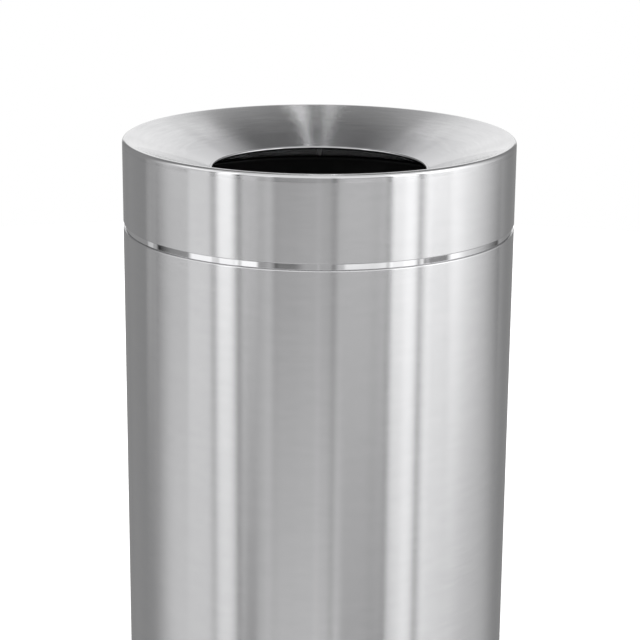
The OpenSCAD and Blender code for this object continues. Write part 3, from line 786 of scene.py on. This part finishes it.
# The studio that the steel mirrors: soft light panels, and dark flags, whose strength is below 0.
# A panel stands between two azimuths, in degrees: 0 is the front, plus is to the right, 180 the back.
# A row says from, to, from fade, to fade and strength. Each list has one span of elevation, above it:
# lowest, highest and fade.
whole_height = (-78, 40, 8)
room_panels = [
    (-148, -113, 7, 10, 0.05),  # far left corner
    (-107, -48, 15, 2, 0.6),  # left wall
    (-64.5, -61, 0.5, 0.5, -0.4),  # dark post on it
    (-47, -45, 0.5, 0.5, -0.25),  # thin dark post
    (-45.5, -26.5, 1, 2.5, 0.4),  # left of the camera
    (-29, 9.5, 3, 1, 0.2),  # dimmer middle, round the camera
    (-25, -23.5, 0.5, 0.5, -0.1),  # faint dark line
    (-0.5, 0.5, 0.5, 0.5, 0.15),  # faint light line
    (7.5, 9.5, 0.5, 0.5, -0.2),  # thin dark post
    (10.5, 43, 1.5, 1, 0.4),  # right of the camera
    (30, 35.5, 1, 1, -0.05),  # faint shade on it
    (39.5, 41.5, 0.5, 0.5, -0.4),  # thin dark post
    (42, 59.5, 1, 1, 0.65),  # right window
    (50.5, 59, 1.5, 1, 0.25),  # its brighter half
    (60.5, 66, 1, 2.5, 0.7),  # narrow window past a dark gap
    (64.5, 110, 2.5, 40, 1.2),  # bright right wall, which fades to the back
]
# higher panels, which the lid mirrors most
lid_height = (-14, 40, 6)
lid_panels = [
    (-59.5, -49.5, 0.5, 2, 0.9),  # left window
    (42.5, 57.5, 0.5, 1.5, 0.75),  # right window
    (62, 107, 1, 33, 0.4),  # right wall
]
# lower panels, which the body mirrors most
body_height = (-78, -18.5, 5)
body_panels = [
    (-63.5, -50.5, 1.5, 1.5, 0.1),  # below the left window
    (-43, -36, 1, 1, -0.35),  # dark stand, left of the camera
    (-26, 14.5, 1, 2.5, 0.35),  # below the camera
    (11.5, 45.5, 1, 1.5, -0.2),  # right of the camera
    (60, 108, 1.5, 20, -0.55),  # foot of the right wall
]
# a narrow belt that makes the light and dark dashes of the polished band
belt_height = (-15.2, -12.4, 0.5)
belt_panels = [
    (-119.5, -113.5, 1, 1, 0.35),
    (-109, -81, 2, 1, -0.6),
    (-79.5, -61, 1, 1, 0.5),
    (-49, -35.5, 1, 1, 0.8),
    (-35, -10.5, 1, 4, -0.3),
    (15, 42, 1, 1, 0.6),
    (63.5, 82, 1, 3, -1.4),
    (92, 132, 5, 2, -0.4),
]
# Behind the bin, as the funnel mirrors it: bands one above the other, as low, high, fade and strength.
back_wall = (162, 198, 3, 3)
back_bands = [
    (-3, 12, 4, 0.75),
    (12, 32, 4, 0.85),
    (32, 38, 3, 0.5),
    (38, 44, 3, 0.25),
    (50, 58, 4, -0.15),
    (58, 68, 5, 0.45),
    (68, 86, 6, 0.9),
]
# Two narrow lights behind the bin, a flag above the right one, and the soft light above the front.
single_panels = [
    (167.5, 169, 0.5, 0.5, 33, 39, 2, 0.6),
    (-169, -167.5, 0.5, 0.5, 32, 41, 2, 0.7),
    (165, 171, 1, 1, 40, 47, 2, -0.2),
    (-100, 100, 15, 15, 20, 86, 10, 0.8),
]
studio_base = 0.3
darkest = 0.02


def bent_strip(turn, strength, low=42, high=62, step=4, half_width=0.16, dip=9.9):
    """Panels of a thin light strip behind the bin. Its bend makes the funnel show it as one straight ray
    at that turn, in degrees to the left of the back, seen from dip degrees above."""
    panels = []
    for elevation in range(low, high + 1, step):
        slope = math.radians((elevation - dip) / 2)
        across = 2 * math.sin(slope + math.radians(dip)) * math.sin(slope)
        centre = 180 - turn * across / (math.cos(math.radians(dip)) - across)
        panels.append((centre - half_width, centre + half_width, half_width, half_width,
                       elevation - step / 2, elevation + step / 2, step / 3, strength))
    return panels


def all_panels():
    """Every panel as from, to, from fade, to fade, low, high, fade and strength."""
    panels = []
    for height, rows in ((whole_height, room_panels), (lid_height, lid_panels),
                         (body_height, body_panels), (belt_height, belt_panels)):
        panels += [(*row[:4], *height, row[4]) for row in rows]
    panels += [(*back_wall, *band) for band in back_bands]
    return panels + single_panels + bent_strip(5.1, 4.2) + bent_strip(-2.7, 2.4)


def make_studio_light():
    """Soft panels all round, which the steel mirrors as upright stripes, and white beyond them."""
    world = bpy.data.worlds.new("studio")
    scene.world = world
    world.use_nodes = True
    tree = world.node_tree
    tree.nodes.clear()
    way = place(tree, "ShaderNodeSeparateXYZ", {0: place(tree, "ShaderNodeTexCoord").outputs["Generated"]})
    x, y, z = way.outputs
    azimuth = maths(tree, "DEGREES", maths(tree, "ARCTAN2", x, maths(tree, "MULTIPLY", y, -1.0)))
    elevation = maths(tree, "DEGREES", maths(tree, "ARCSINE", z))
    panel_tree = soft_panel_group()
    light = studio_base
    names = ("From", "To", "From Fade", "To Fade", "Low", "High", "Fade", "Strength")
    for row in all_panels():
        panel = tree.nodes.new("ShaderNodeGroup")
        panel.node_tree = panel_tree
        tree.links.new(azimuth, panel.inputs["Azimuth"])
        tree.links.new(elevation, panel.inputs["Elevation"])
        for name, value in zip(names, row):
            panel.inputs[name].default_value = value
        light = maths(tree, "ADD", light, panel.outputs[0])
    light = maths(tree, "MAXIMUM", light, darkest)
    seen = place(tree, "ShaderNodeLightPath").outputs["Is Camera Ray"]
    level = place(tree, "ShaderNodeMix", {0: seen, 2: light, 3: 1.0}, data_type="FLOAT")
    background = place(tree, "ShaderNodeBackground", {"Color": (1.0, 1.0, 1.0, 1.0),
                                                      "Strength": level.outputs[0]})
    out = tree.nodes.new("ShaderNodeOutputWorld")
    tree.links.new(background.outputs[0], out.inputs["Surface"])


def make_camera():
    data = bpy.data.cameras.new("camera")
    data.lens = lens_mm
    data.sensor_width = 36.0
    camera = bpy.data.objects.new("camera", data)
    scene.collection.objects.link(camera)
    turn = (Matrix.Rotation(math.radians(-camera_yaw), 4, "Z")
            @ Matrix.Rotation(math.radians(90 - camera_pitch), 4, "X")
            @ Matrix.Rotation(math.radians(camera_roll), 4, "Z"))
    spot = Vector((0.0, -camera_back * shell_r, rim_top + camera_above_rim * shell_r))
    camera.matrix_world = Matrix.Translation(spot) @ turn
    scene.camera = camera


make_camera()
make_floor()
make_studio_light()
scene.view_settings.view_transform = "Standard"

make_funnel()
make_skirt()
make_collar()
make_shell()
make_liner()
make_trim()
make_base_rivets()
make_glides()
make_grip("grip_left", "left_handle")
make_grip("grip_right", "right_handle")
dress(inner_steel, "seam_strip", "top_hoop", "base_pan", "liner_locators")
dress(zinc, "foot_screws", "foot_nuts", "locator_rivets", "liner_rim_wire", "handle_ears", "ear_rivets",
      "handle_left", "handle_right")
dress(rubber, "liner_rest_pads", "lid_gasket")
